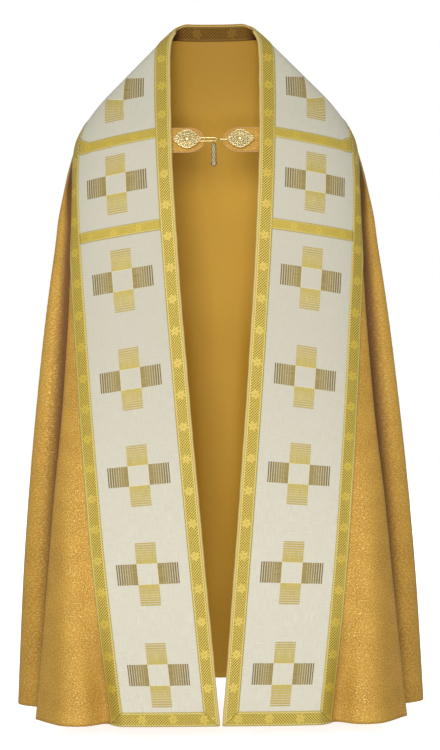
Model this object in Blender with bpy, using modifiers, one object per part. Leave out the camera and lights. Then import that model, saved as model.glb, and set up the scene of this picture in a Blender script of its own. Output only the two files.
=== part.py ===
"""A cope: a long open cloak of gold cloth with a lining, a straight white orphrey band edged with gold
galloon tape, and a metal clasp with a small hanging pendant. It stands in the hollow form it has when worn.

Metres. +Z up, the opening faces -Y, the wearer's back is towards +Y. The origin is where the wearer's
neck holds the cloak up. "drop" is a height measured down from the neck edge, "along" a length measured
round the cloth from the front edge to the centre back, and "across" a width measured over the band.
"""

import functools
import math
from collections import namedtuple

import bmesh
import bpy
import numpy as np
from mathutils import Vector

# ---------------------------------------------------------------- driving sizes

NECK_TOP = 0.058  # height of the neck edge over the origin, at the sides
NECK_LIFT = 0.015  # the neck edge stands this much higher round the back
NECK_DIP = 0.009  # and lies this much lower where it turns down the front
NECK_TURN = 0.50  # the share of its half length over which it turns down
NECK_LIFT_REACH = 0.055  # the drop over which this levels out
HEM_DROP = 1.438  # neck edge to hem, at the sides
BAND_WIDTH = 0.228  # front edge to the band's outer edge
NECK_HALF = 0.085  # half of the neck edge, round the back
SEAM_PLACE = 0.77  # where the side seam meets the hem, from the front edge

GAP = 0.0003  # between pieces that are sewn or lie on each other
LINING_WALL = 0.0010
CLOTH_WALL = 0.0012
BAND_WALL = 0.0012
TAPE_WALL = 0.0010

EDGE_SHOWN = 0.004  # gold cloth that shows beyond the band at the front edge
TAPE_WIDTH = 0.028
CROSS_TAPE_WIDTH = 0.022
CROSS_TAPE_DROPS = (0.232, 0.425)  # upper edges of the two cross tapes, at the front edge

# How each section of the hanging cloak is shaped, from the neck edge down. edge_x and edge_y place the
# front edge, side_y the widest point, and the two last columns square off the front and the back.
Section = namedtuple("Section", "drop half_width edge_x edge_y side_y back_y front_square back_square")
SECTIONS = (
    Section(0.000, 0.082, 0.0805, 0.040, 0.052, 0.087, 2.0, 2.6),
    Section(0.020, 0.101, 0.0885, 0.026, 0.046, 0.090, 2.0, 2.5),
    Section(0.060, 0.136, 0.0930, 0.002, 0.026, 0.096, 2.0, 2.3),
    Section(0.120, 0.193, 0.0930, -0.032, 0.012, 0.105, 2.0, 2.2),
    Section(0.180, 0.249, 0.0920, -0.068, 0.006, 0.115, 2.0, 2.2),
    Section(0.228, 0.281, 0.0910, -0.095, 0.002, 0.125, 2.2, 2.2),
    Section(0.315, 0.312, 0.0880, -0.130, 0.000, 0.138, 2.6, 2.2),
    Section(0.498, 0.334, 0.0780, -0.165, 0.000, 0.155, 3.2, 2.2),
    Section(0.808, 0.362, 0.0553, -0.200, 0.000, 0.172, 3.6, 2.3),
    Section(1.108, 0.386, 0.0304, -0.228, 0.000, 0.185, 3.8, 2.3),
    Section(1.438, 0.405, 0.0020, -0.262, 0.000, 0.200, 3.8, 2.4),
)

# The folds, each a soft ridge (+) or trough (-) that fans out from the shoulder to the hem. place is its
# distance from the front edge along the hem, reach its half width there, starts the drop it begins at.
Fold = namedtuple("Fold", "place reach left right starts")
FOLDS = (
    Fold(0.240, 0.040, -0.022, -0.020, 1.16),
    Fold(0.315, 0.075, 0.016, 0.018, 0.80),
    Fold(0.468, 0.078, -0.078, -0.075, 0.23),
    Fold(0.562, 0.080, 0.022, 0.021, 0.23),
    Fold(0.770, 0.075, -0.030, -0.034, 0.26),
    Fold(0.850, 0.070, 0.026, 0.030, 0.26),
    Fold(0.935, 0.075, -0.030, -0.026, 0.40),
    Fold(1.015, 0.070, 0.024, 0.028, 0.50),
)
FOLD_GROWTH = 0.38  # how soon a fold deepens below its start: 1 is evenly
FOLD_NARROW = 0.34  # its reach at the shoulder, as a share of that at the hem
FOLD_DRAW = 0.12  # how much nearer to the band the front folds start than they end, along the hem
FOLD_LEAD = 0.20  # and over this length below its start it comes in softly
SIDES = {"left": -1, "right": 1}

# The weft lines of the band lean down towards its outer edge, because it hangs a little aslant.
Lean = namedtuple("Lean", "drop slope")
LEANS = (Lean(0.0, 0.0), Lean(0.2, 0.17), Lean(0.4, 0.155), Lean(0.75, 0.15), Lean(1.0, 0.07),
         Lean(1.2, 0.03), Lean(HEM_DROP, 0.0))
GATHER = 0.055  # the share of the band's width that the folds take up at the hem
GATHER_DROP = 1.05  # and the drop from which they do
LEAN_FADE = 0.06  # over this length below the shoulder fold the lean comes in

# Where the faceted cloth has its lines.
BAND_LINES = (0.0, EDGE_SHOWN, EDGE_SHOWN + TAPE_WIDTH, 0.072, 0.114, 0.157, BAND_WIDTH - TAPE_WIDTH, BAND_WIDTH)
HEM_TAPE_DROP = HEM_DROP - TAPE_WIDTH
FRONT_DROPS = (BAND_WIDTH, CROSS_TAPE_DROPS[0], CROSS_TAPE_DROPS[0] + CROSS_TAPE_WIDTH, 0.34,
               CROSS_TAPE_DROPS[1], CROSS_TAPE_DROPS[1] + CROSS_TAPE_WIDTH, 0.60, 0.76, 0.92, 1.08, 1.24, HEM_TAPE_DROP, HEM_DROP)
GORE_COLUMNS = 11
NECK_COLUMNS = 4  # between the centre back and each end of the neck edge

# The clasp: a stitched cloth tab and a rosette on each side, a ring, a hook and the pendant.
CLASP_DROP = 0.262
CLASP_X = -0.0036  # it is fastened a little to the left
CLASP_Y = -0.1035  # front of the tabs
CLASP_TILT = math.radians(20.0)  # it leans back with the chest
TAB_OUTER_X = 0.0985
TAB_INNER_X = 0.018
TAB_ROUND = 0.034  # length of a tab's rounded end
TAB_HEIGHT = 0.057
TAB_WALL = 0.0025
ROSETTE_X = 0.055
ROSETTE_HALF = (0.0275, 0.0215)
ROSETTE_WALL = 0.0030
ROSETTE_LOBES = 8
ROSETTE_POINT = 1.4
POST_X = 0.041
POST_RADIUS = 0.0021
POST_HEIGHT = 0.0034
WIRE_RADIUS = 0.0011
RING_RADIUS = 0.0038
RING_END_X = 0.006
HOOK_RADIUS = 0.0027
PENDANT_X = 0.0
PENDANT_LOOP_RADIUS = 0.0029
PENDANT_WIRE_RADIUS = 0.0007
PENDANT_LENGTH = 0.050
PENDANT_FLATTEN = 0.42

CLOTH_COLOUR = (0.55, 0.33, 0.07)
LINING_COLOUR = (0.51, 0.28, 0.05)
BAND_COLOUR = (0.72, 0.68, 0.58)
TAPE_COLOUR = (0.60, 0.46, 0.08)
METAL_COLOUR = (0.66, 0.54, 0.28)
MERGE = 0.00005


# ---------------------------------------------------------------- the hanging form


def through_rows(rows, place):
    """The values of a table's row at this place: a smooth curve through its rows, by their first column."""
    table = np.array(rows, float)
    knots = table[:, 0]
    place = min(max(place, knots[0]), knots[-1])
    slopes = np.gradient(table, knots, axis=0)
    low = min(int(np.searchsorted(knots, place, side="right")) - 1, len(knots) - 2)
    span = knots[low + 1] - knots[low]
    t = (place - knots[low]) / span
    return (table[low] * (2 * t**3 - 3 * t**2 + 1) + slopes[low] * span * (t**3 - 2 * t**2 + t)
            + table[low + 1] * (3 * t**2 - 2 * t**3) + slopes[low + 1] * span * (t**3 - t**2))


@functools.lru_cache(maxsize=None)
def section_curve(drop):
    """Half of the smooth section at this drop: its points from the front edge to the centre back, and the
    length up to each."""
    row = Section(*through_rows(SECTIONS, drop))
    power = 2 / row.front_square
    edge_angle = math.asin((row.edge_x / row.half_width) ** (1 / power))
    front_depth = (row.side_y - row.edge_y) / math.cos(edge_angle) ** power
    turn = np.linspace(edge_angle, math.pi / 2, 60)
    front = np.stack([row.half_width * np.sin(turn) ** power,
                      row.side_y - front_depth * np.abs(np.cos(turn)) ** power], axis=1)
    power = 2 / row.back_square
    turn = np.linspace(math.pi / 2, 0, 60)[1:]
    back = np.stack([row.half_width * np.abs(np.sin(turn)) ** power,
                     row.side_y + (row.back_y - row.side_y) * np.abs(np.cos(turn)) ** power], axis=1)
    points = np.concatenate([front, back])
    lengths = np.concatenate([[0], np.cumsum(np.linalg.norm(np.diff(points, axis=0), axis=1))])
    return points, lengths


def half_round(drop):
    """Length of the smooth section from the front edge to the centre back."""
    return section_curve(drop)[1][-1]


def ease(drop):
    """How much longer the form is round the shoulders than a straight band, or shorter where the folds at
    the hem take it up, as a factor."""
    yoke = min(drop, BAND_WIDTH)
    spare = half_round(yoke) / (NECK_HALF + 2 * yoke) - 1
    taken = GATHER * max(0.0, (drop - GATHER_DROP) / (HEM_DROP - GATHER_DROP)) ** 1.5
    return 1 + spare * max(0.0, 1 - max(0.0, drop - BAND_WIDTH) / 0.4) - taken


def fan(drop):
    """0 at the shoulder point, where the folds start, to 1 at the hem."""
    return min(max((drop - BAND_WIDTH) / (HEM_DROP - BAND_WIDTH), 0.0), 1.0)


def seam_along(drop):
    """Where the side seam crosses this drop."""
    edge = BAND_WIDTH * ease(drop)
    return edge + (SEAM_PLACE - edge) * fan(drop)


def fold_along(place, drop):
    """Where the fold line that ends at this place on the hem crosses this drop."""
    edge, seam = BAND_WIDTH * ease(drop), seam_along(drop)
    if place <= BAND_WIDTH:
        return place * ease(drop)
    if place <= SEAM_PLACE:
        beyond = (place - BAND_WIDTH) / (SEAM_PLACE - BAND_WIDTH)
        drawn = FOLD_DRAW * (1 - fan(drop)) * 4 * beyond * (1 - beyond) / (SEAM_PLACE - BAND_WIDTH)
        return edge + (seam - edge) * (beyond - drawn)
    behind = (half_round(HEM_DROP) - place) / (half_round(HEM_DROP) - SEAM_PLACE)
    return half_round(drop) - (half_round(drop) - seam) * behind


def fold_depth(side, along, drop):
    """How far the folds move the cloth out (+) or in (-) of the smooth section."""
    moved = 0.0
    for fold in FOLDS:
        reach = fold.reach * (FOLD_NARROW + (1 - FOLD_NARROW) * fan(drop))
        away = abs(along - fold_along(fold.place, drop)) / reach
        grown = (drop - fold.starts) / (HEM_DROP - fold.starts)
        if away < 1 and grown > 0:
            depth = fold.left if side < 0 else fold.right
            lead = min((drop - fold.starts) / FOLD_LEAD, 1.0)
            moved += depth * grown**FOLD_GROWTH * lead**2 * (1.5 - 0.5 * lead**2) * 0.5 * (1 + math.cos(math.pi * away))
    return moved


def lift(along, drop):
    """How much higher than level the neck edge and the cloth just below it stand."""
    rise = min(max(along / half_round(drop) / NECK_TURN, 0.0), 1.0)
    height = (NECK_LIFT + NECK_DIP) * rise**2 * (3 - 2 * rise) - NECK_DIP
    return height * math.exp(-((drop / NECK_LIFT_REACH) ** 2))


def form_point(side, along, drop):
    """A point of the folded form. A length beyond the centre back comes round onto the other side."""
    if along > half_round(drop):
        return form_point(-side, 2 * half_round(drop) - along, drop)
    points, lengths = section_curve(drop)
    x, y = (np.interp(along, lengths, points[:, i]) for i in (0, 1))
    reach = 0.004
    ahead, behind = min(along + reach, lengths[-1]), max(along - reach, 0.0)
    run = [np.interp(ahead, lengths, points[:, i]) - np.interp(behind, lengths, points[:, i]) for i in (0, 1)]
    size = math.hypot(*run)
    out = fold_depth(side, along, drop)
    x += out * run[1] / size
    y -= out * run[0] / size
    return Vector((side * x, y, NECK_TOP - drop + lift(along, drop)))


def cloth_point(side, along, drop, out):
    """A point of the form moved out by this much, square to the cloth."""
    step = 0.003
    round_way = form_point(side, along + step, drop) - form_point(side, max(along - step, 0.0), drop)
    down_way = form_point(side, along, min(drop + step, HEM_DROP)) - form_point(side, along, max(drop - step, 0.0))
    normal = down_way.cross(round_way).normalized() * side
    return form_point(side, along, drop) + normal * out


# ---------------------------------------------------------------- the straight band and the body


def lean(drop):
    return through_rows(LEANS, drop)[1]


def band_place(run, across):
    """(along, drop) of a point of the straight band: run is its distance along the band from the centre
    back, across from the front edge. The band folds over the shoulder on a line at 45 degrees to it."""
    if run <= NECK_HALF + across:
        drop = across
        return half_round(drop) - run * ease(drop), drop
    drop = run - NECK_HALF
    fade = min((drop - across) / LEAN_FADE, 1.0)
    drop = min(drop + across * lean(drop) * fade, HEM_DROP)
    return across * ease(drop), drop


def band_runs():
    """Distances along the band of its weft lines over the shoulder, from the centre back outwards."""
    neck = [NECK_HALF * i / NECK_COLUMNS for i in range(NECK_COLUMNS)]
    return neck + [NECK_HALF + line for line in BAND_LINES]


def front_runs():
    return [NECK_HALF + drop for drop in FRONT_DROPS]


def gore_place(column, drop):
    """(along, drop) in the front piece beyond the band. column runs from 0 at the band to 1 at the seam."""
    start, start_drop = band_place(NECK_HALF + drop, BAND_WIDTH)
    level = start_drop + (drop - start_drop) * column
    return start + (seam_along(level) - start) * column, level


def back_place(share, drop):
    """(along, drop) in the back piece under the band. share is 0 at the centre back and 1 at the seam."""
    return half_round(drop) - (half_round(drop) - seam_along(drop)) * share, drop


def front_grid(side, out, trim=0.0):
    """Rows of points of one front, between the yoke seam and the hem, each from the front edge to the side
    seam. The edges at the two seams are trimmed back by this much, on the cloth's own facets."""
    rows = []
    for drop in FRONT_DROPS:
        places = [band_place(NECK_HALF + drop, line) for line in BAND_LINES]
        places += [gore_place(i / GORE_COLUMNS, drop) for i in range(1, GORE_COLUMNS + 1)]
        rows.append([cloth_point(side, *place, out) for place in places])
    if trim:
        for row in rows[1:]:
            row[-1] = row[-1].lerp(row[-2], trim / (row[-1] - row[-2]).length)
        middle = len(BAND_LINES) + GORE_COLUMNS // 2
        for i, point in enumerate(rows[0]):
            below = rows[1][min(i, middle)] if i < len(BAND_LINES) - 1 else rows[1][middle]
            rows[0][i] = point.lerp(below, trim / (point - below).length)
    return rows[::side]


def back_grid(out):
    """Rows of points of the back and the shoulders, from the neck edge down, each from left to right."""
    runs = band_runs()
    ends = [(-1, run) for run in reversed(runs)] + [(1, run) for run in runs[1:]]
    rows = [[cloth_point(side, *band_place(run, line), out) for side, run in ends] for line in BAND_LINES]
    for drop in FRONT_DROPS[1:]:
        rows.append([cloth_point(side, *back_place(run / runs[-1], drop), out) for side, run in ends])
    return rows


def band_strip(out, inner, outer, runs_left, runs_right):
    """Rows of points of a strip of the band between two distances across it, on the cloth's own facets."""
    ends = [(-1, run) for run in runs_left] + [(1, run) for run in runs_right]
    cuts = [inner] + [line for line in BAND_LINES if inner < line < outer] + [outer]
    rows = []
    for side, run in ends:
        lines = [cloth_point(side, *band_place(run, line), out) for line in BAND_LINES]
        row = []
        for cut in cuts:
            low = max(i for i, line in enumerate(BAND_LINES[:-1]) if line <= cut)
            share = (cut - BAND_LINES[low]) / (BAND_LINES[low + 1] - BAND_LINES[low])
            row.append(lines[low].lerp(lines[low + 1], share))
        rows.append(row)
    return rows


def whole_length():
    """The weft lines of the whole band: left hem to centre back, then on to the right hem."""
    runs = band_runs() + front_runs()[1:]
    return list(reversed(runs)), runs[1:]


# ---------------------------------------------------------------- making the pieces


def clear_scene():
    for old in list(bpy.data.objects):
        bpy.data.objects.remove(old, do_unlink=True)


def finish_named(name, colour, roughness, metallic=0.0):
    material = bpy.data.materials.new(name)
    material.use_nodes = True
    shader = material.node_tree.nodes["Principled BSDF"]
    shader.inputs["Base Color"].default_value = (*colour, 1)
    shader.inputs["Roughness"].default_value = roughness
    shader.inputs["Metallic"].default_value = metallic
    return material


def place_in_cope(name, data, material):
    """A new object in the cope's collection, with the material of its own."""
    piece = bpy.data.objects.new(name, data)
    data.materials.append(material)
    COPE.objects.link(piece)
    return piece


def sheet(name, grids, out, wall, material):
    """One piece of cloth: its grids of points joined into a surface and given its wall. grids makes them
    this far outside the form; the wall's other face is the same grids farther out."""
    mesh = bmesh.new()
    other_face = mesh.verts.layers.float_vector.new("other_face")
    for near_rows, far_rows in zip(grids(out), grids(out + wall)):
        knots = []
        for near_row, far_row in zip(near_rows, far_rows):
            knots.append([mesh.verts.new(point) for point in near_row])
            for knot, point in zip(knots[-1], far_row):
                knot[other_face] = point
        for upper, lower in zip(knots, knots[1:]):
            for a, b, c, d in zip(upper, lower, lower[1:], upper[1:]):
                if a.co.x + c.co.x < 0:  # the left side's facets mirror the right side's
                    a, b, c, d = b, c, d, a
                mesh.faces.new((a, b, c))
                mesh.faces.new((a, c, d))
    bmesh.ops.remove_doubles(mesh, verts=mesh.verts, dist=MERGE)
    moved = bmesh.ops.extrude_face_region(mesh, geom=mesh.faces[:], use_keep_orig=True)["geom"]
    for knot in moved:
        if isinstance(knot, bmesh.types.BMVert):
            knot.co = knot[other_face]
    bmesh.ops.recalc_face_normals(mesh, faces=mesh.faces)
    data = bpy.data.meshes.new(name)
    mesh.to_mesh(data)
    mesh.free()
    return place_in_cope(name, data, material)


def build_cloth():
    """The lining, the outer cloth in two fronts and a back, and the neck tape inside the collar edge."""
    out = 0.0
    sheet("lining", lambda out: [back_grid(out), front_grid(-1, out), front_grid(1, out)], out, LINING_WALL,
          finish_named("lining satin", LINING_COLOUR, 0.55))
    out += LINING_WALL + GAP
    sheet("outer_back", lambda out: [back_grid(out)], out, CLOTH_WALL,
          finish_named("gold cloth back", CLOTH_COLOUR, 0.4, 0.3))
    for side_name, side in SIDES.items():
        sheet("outer_front_" + side_name, lambda out, side=side: [front_grid(side, out, GAP)], out, CLOTH_WALL,
              finish_named("gold cloth " + side_name, CLOTH_COLOUR, 0.4, 0.3))
    inside = -(GAP + TAPE_WALL)
    runs = [run for run in band_runs() if run <= NECK_HALF]
    sheet("neck_tape", lambda out: [band_strip(out, BAND_LINES[1], BAND_LINES[2], runs[::-1], runs[1:])],
          inside, TAPE_WALL, finish_named("neck galloon", TAPE_COLOUR, 0.45, 0.4))


def build_band():
    """The straight orphrey band, its galloon tapes and the tapes that cross it."""
    out = LINING_WALL + CLOTH_WALL + 2 * GAP
    left, right = whole_length()
    sheet("orphrey_band", lambda out: [band_strip(out, EDGE_SHOWN, BAND_WIDTH, left, right)], out, BAND_WALL,
          finish_named("white brocade", BAND_COLOUR, 0.7))
    out += BAND_WALL + GAP
    edges = {"inner": (BAND_LINES[1], BAND_LINES[2]), "outer": (BAND_LINES[-2], BAND_WIDTH)}
    for edge_name, (near, far) in edges.items():
        sheet("galloon_" + edge_name, lambda out, near=near, far=far: [band_strip(out, near, far, left, right)],
              out, TAPE_WALL, finish_named("galloon " + edge_name, TAPE_COLOUR, 0.45, 0.4))
    crossings = {"cross_upper": (CROSS_TAPE_DROPS[0], CROSS_TAPE_DROPS[0] + CROSS_TAPE_WIDTH),
                 "cross_lower": (CROSS_TAPE_DROPS[1], CROSS_TAPE_DROPS[1] + CROSS_TAPE_WIDTH),
                 "hem": (HEM_TAPE_DROP, HEM_DROP)}
    for tape_name, drops in crossings.items():
        runs = [NECK_HALF + drop for drop in drops]
        for side_name, side in SIDES.items():
            ends = (runs[::-1], []) if side < 0 else ([], runs)
            sheet(f"galloon_{tape_name}_{side_name}",
                  lambda out, ends=ends: [band_strip(out, BAND_LINES[2] + GAP, BAND_LINES[-2] - GAP, *ends)],
                  out, TAPE_WALL, finish_named(f"galloon {tape_name} {side_name}", TAPE_COLOUR, 0.45, 0.4))


def curve_piece(name, splines, depth, material, flat=False):
    """A curve object of poly splines: wire of this radius, or a flat outline of this thickness."""
    data = bpy.data.curves.new(name, "CURVE")
    data.dimensions = "2D" if flat else "3D"
    for points, cyclic in splines:
        spline = data.splines.new("POLY")
        spline.points.add(len(points) - 1)
        for knot, point in zip(spline.points, points):
            knot.co = (*point, *(0.0,) * (3 - len(point)), 1.0)
        spline.use_cyclic_u = cyclic
    if flat:
        data.fill_mode = "BOTH"
        data.extrude = depth / 2
    else:
        data.fill_mode = "FULL"
        data.bevel_depth = depth
        data.bevel_resolution = 2
        data.use_fill_caps = True
    return place_in_cope(name, data, material)


def arc(centre, radius, start, end, steps):
    """Points on a circle in the clasp's plane, from one angle to another."""
    turns = [start + (end - start) * i / steps for i in range(steps + 1)]
    return [(centre[0] + radius * math.cos(turn), centre[1] + radius * math.sin(turn)) for turn in turns]


def tab_outline(side):
    """A flat tab with one rounded end, as (x, height) in the clasp's plane."""
    half, start = TAB_HEIGHT / 2, TAB_INNER_X + TAB_ROUND
    turns = [math.pi / 2 + math.pi * i / 12 for i in range(13)]
    end = [(start + TAB_ROUND * math.cos(turn), half * math.sin(turn)) for turn in turns]
    points = [(TAB_OUTER_X, half), *end, (TAB_OUTER_X, -half)]
    return [(side * x, z) for x, z in points]


def rosette_outline(side):
    """A lozenge with scalloped sides."""
    points = []
    for i in range(ROSETTE_LOBES * 6):
        turn = 2 * math.pi * i / (ROSETTE_LOBES * 6)
        scallop = 1 + 0.035 * math.cos(2 * ROSETTE_LOBES * turn)
        x, z = (half * math.copysign(abs(wave) ** ROSETTE_POINT, wave) * scallop
                for half, wave in zip(ROSETTE_HALF, (math.cos(turn), math.sin(turn))))
        points.append((side * (ROSETTE_X + x), z))
    return points


def stand_up(piece, parent, depth):
    """Turns a flat outline into the clasp's plane, this far in front of the tabs."""
    piece.parent = parent
    piece.rotation_euler.x = math.pi / 2
    piece.location.y = -depth


def build_clasp():
    frame = bpy.data.objects.new("clasp_frame", None)
    frame.location = (CLASP_X, CLASP_Y, NECK_TOP - CLASP_DROP)
    frame.rotation_euler.x = -CLASP_TILT
    COPE.objects.link(frame)
    wire_depth = GAP + POST_HEIGHT / 2
    for side_name, side in SIDES.items():
        tab = curve_piece("tab_" + side_name, [(tab_outline(side), True)], TAB_WALL,
                          finish_named("tab cloth " + side_name, CLOTH_COLOUR, 0.5, 0.2), flat=True)
        stand_up(tab, frame, -TAB_WALL / 2)
        rosette = curve_piece("rosette_" + side_name, [(rosette_outline(side), True)], ROSETTE_WALL,
                              finish_named("rosette gilt " + side_name, METAL_COLOUR, 0.3, 1.0), flat=True)
        stand_up(rosette, frame, 2 * GAP + POST_HEIGHT + ROSETTE_WALL / 2)
        stud = arc((side * POST_X, 0), POST_RADIUS, 0, 2 * math.pi * 15 / 16, 15)
        post = curve_piece("post_" + side_name, [(stud, True)], POST_HEIGHT,
                           finish_named("post gilt " + side_name, METAL_COLOUR, 0.3, 1.0), flat=True)
        stand_up(post, frame, GAP + POST_HEIGHT / 2)
    straight_end = RING_END_X - RING_RADIUS
    ring = (arc((-POST_X, 0), RING_RADIUS, math.pi / 2, math.pi * 3 / 2, 10)
            + arc((straight_end, 0), RING_RADIUS, -math.pi / 2, math.pi / 2, 10))
    link = curve_piece("ring", [(ring, True)], WIRE_RADIUS, finish_named("ring gilt", METAL_COLOUR, 0.3, 1.0))
    stand_up(link, frame, wire_depth)
    eye = arc((POST_X, 0), RING_RADIUS, math.radians(205), math.radians(490), 14)
    bend = [(RING_END_X + HOOK_RADIUS * math.cos(turn), 0.0, HOOK_RADIUS * math.sin(turn))
            for turn in (math.radians(20 + 230 * i / 12) for i in range(13))]
    path = bend[::-1] + [(x, z, 0.0) for x, z in [(RING_END_X + 0.009, 0.0), (POST_X - 0.009, 0.0)] + eye]
    hook = curve_piece("hook", [(path, False)], WIRE_RADIUS, finish_named("hook gilt", METAL_COLOUR, 0.3, 1.0))
    stand_up(hook, frame, wire_depth)
    bpy.context.view_layer.update()
    return frame.matrix_world @ Vector((PENDANT_X, -wire_depth, -RING_RADIUS))


def build_pendant(hangs_from):
    """The pendant: a loop round the ring's lower bar, and below it a turned drop, pressed flat."""
    hang = PENDANT_LOOP_RADIUS - PENDANT_WIRE_RADIUS - WIRE_RADIUS - GAP
    bottom_of_loop = -hang - PENDANT_LOOP_RADIUS
    profile = [(0.0, 0.0), (0.0018, 0.001), (0.0040, 0.004), (0.0034, 0.008), (0.0044, 0.013), (0.0039, 0.020),
               (0.0046, 0.026), (0.0038, 0.031), (0.0056, 0.038), (0.0054, 0.044), (0.0030, 0.0485),
               (0.0, PENDANT_LENGTH)]
    mesh = bmesh.new()
    knots = [mesh.verts.new((radius, 0, bottom_of_loop + PENDANT_WIRE_RADIUS / 2 - down)) for radius, down in profile]
    for upper, lower in zip(knots, knots[1:]):
        mesh.edges.new((upper, lower))
    data = bpy.data.meshes.new("pendant")
    mesh.to_mesh(data)
    mesh.free()
    pendant = place_in_cope("pendant", data, finish_named("pendant gilt", METAL_COLOUR, 0.35, 1.0))
    pendant.location = hangs_from
    pendant.scale.y = PENDANT_FLATTEN
    turned = pendant.modifiers.new("turned", "SCREW")
    turned.steps = turned.render_steps = 16
    turned.use_merge_vertices = True
    turned.merge_threshold = 0.00001
    bpy.ops.mesh.primitive_torus_add(
        major_radius=PENDANT_LOOP_RADIUS, minor_radius=PENDANT_WIRE_RADIUS, major_segments=20, minor_segments=8,
        location=(hangs_from.x, hangs_from.y, hangs_from.z - hang), rotation=(0, math.pi / 2, 0))
    loop = bpy.context.object
    loop.name = "pendant_loop_cutter"
    loop.hide_render = True
    loop.display_type = "WIRE"
    joined = pendant.modifiers.new("loop", "BOOLEAN")
    joined.operation = "UNION"
    joined.object = loop


clear_scene()
COPE = bpy.data.collections.new("cope")
bpy.context.scene.collection.children.link(COPE)
build_cloth()
build_band()
build_pendant(build_clasp())
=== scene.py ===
"""The looks of a cope: a long open cloak of gold lurex cloth with a satin lining, a straight ivory orphrey
band edged with gold galloon, and a filigree clasp with a small pendant.

Metres. +Z up, the opening faces -Y. "drop" is a height down from the neck edge, "along" a length round the
cloth from the front edge, "run" a length along the straight band from the centre back (left is negative),
"across" a width over the band from the front edge, and "out" a distance outside the hanging form.
"""

import math
from collections import namedtuple

import bmesh
import bpy
import numpy as np
from mathutils import Matrix, Vector


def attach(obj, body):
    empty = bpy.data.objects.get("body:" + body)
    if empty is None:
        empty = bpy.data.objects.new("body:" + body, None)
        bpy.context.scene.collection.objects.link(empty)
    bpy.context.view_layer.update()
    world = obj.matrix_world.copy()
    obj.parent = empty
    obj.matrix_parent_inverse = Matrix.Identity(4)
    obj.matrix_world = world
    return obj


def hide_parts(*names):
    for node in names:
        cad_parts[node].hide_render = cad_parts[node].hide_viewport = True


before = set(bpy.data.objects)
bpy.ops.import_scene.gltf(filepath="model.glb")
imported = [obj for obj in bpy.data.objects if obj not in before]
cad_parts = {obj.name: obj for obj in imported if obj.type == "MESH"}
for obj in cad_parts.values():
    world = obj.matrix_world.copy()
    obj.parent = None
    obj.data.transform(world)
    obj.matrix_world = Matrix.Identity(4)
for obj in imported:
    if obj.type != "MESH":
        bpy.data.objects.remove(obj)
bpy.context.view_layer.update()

# ---- sizes shared with the CAD frame

NECK_TOP = 0.058
NECK_LIFT = 0.015
NECK_DIP = 0.009
NECK_TURN = 0.50
NECK_LIFT_REACH = 0.055
HEM_DROP = 1.438
BAND_WIDTH = 0.228
NECK_HALF = 0.085
SEAM_PLACE = 0.77
BAND_LENGTH = NECK_HALF + HEM_DROP  # centre back to hem

EDGE_SHOWN = 0.004
TAPE_WIDTH = 0.028
CROSS_TAPE_WIDTH = 0.022
CROSS_TAPE_DROPS = (0.232, 0.425)

Section = namedtuple("Section", "drop half_width edge_x edge_y side_y back_y front_square back_square")
SECTIONS = (
    Section(0.000, 0.082, 0.0805, 0.040, 0.052, 0.087, 2.0, 2.6),
    Section(0.020, 0.101, 0.0885, 0.026, 0.046, 0.090, 2.0, 2.5),
    Section(0.060, 0.136, 0.0930, 0.002, 0.026, 0.096, 2.0, 2.3),
    Section(0.120, 0.193, 0.0930, -0.032, 0.012, 0.105, 2.0, 2.2),
    Section(0.180, 0.249, 0.0920, -0.068, 0.006, 0.115, 2.0, 2.2),
    Section(0.228, 0.281, 0.0910, -0.095, 0.002, 0.125, 2.2, 2.2),
    Section(0.315, 0.312, 0.0880, -0.130, 0.000, 0.138, 2.6, 2.2),
    Section(0.498, 0.334, 0.0780, -0.165, 0.000, 0.155, 3.2, 2.2),
    Section(0.808, 0.362, 0.0553, -0.200, 0.000, 0.172, 3.6, 2.3),
    Section(1.108, 0.386, 0.0304, -0.228, 0.000, 0.185, 3.8, 2.3),
    Section(1.438, 0.405, 0.0020, -0.262, 0.000, 0.200, 3.8, 2.4),
)

# Soft ridges (+) and troughs (-) that fan out from the shoulder. place is where one meets the hem, from the
# front edge, reach its half width there, left and right its depth on each side, starts the drop it begins at.
Fold = namedtuple("Fold", "place reach left right starts")
FOLDS = (
    Fold(0.240, 0.040, -0.022, -0.020, 1.16),
    Fold(0.315, 0.075, 0.016, 0.018, 0.80),
    Fold(0.468, 0.078, -0.078, -0.075, 0.23),
    Fold(0.562, 0.080, 0.022, 0.021, 0.23),
    Fold(0.770, 0.075, -0.030, -0.034, 0.26),
    Fold(0.850, 0.070, 0.026, 0.030, 0.26),
    Fold(0.935, 0.075, -0.030, -0.026, 0.40),
    Fold(1.015, 0.070, 0.024, 0.028, 0.50),
)
# Small creases that only the shells have.
CREASES = (
    Fold(0.345, 0.030, -0.0020, -0.0014, 0.95),
    Fold(0.405, 0.026, 0.0012, 0.0022, 0.60),
    Fold(0.455, 0.024, -0.0010, -0.0016, 0.42),
    Fold(0.575, 0.022, 0.0016, 0.0010, 0.36),
    Fold(0.690, 0.024, -0.0018, -0.0014, 0.44),
    Fold(0.812, 0.020, 0.0014, 0.0018, 0.52),
    Fold(0.900, 0.022, -0.0012, -0.0018, 0.62),
    Fold(0.985, 0.024, 0.0018, 0.0012, 0.48),
)
FOLD_GROWTH = 0.38
FOLD_NARROW = 0.34
FOLD_DRAW = 0.12
FOLD_LEAD = 0.20
# Over what length a fold's shading comes in, and the depth that is shaded fully.
FOLD_SHADE_LEAD = 0.12
FOLD_SHADE_DEPTH = 0.06

Lean = namedtuple("Lean", "drop slope")
LEANS = (Lean(0.0, 0.0), Lean(0.2, 0.17), Lean(0.4, 0.155), Lean(0.75, 0.15), Lean(1.0, 0.07),
         Lean(1.2, 0.03), Lean(HEM_DROP, 0.0))
GATHER = 0.055
GATHER_DROP = 1.05
LEAN_FADE = 0.06

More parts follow.
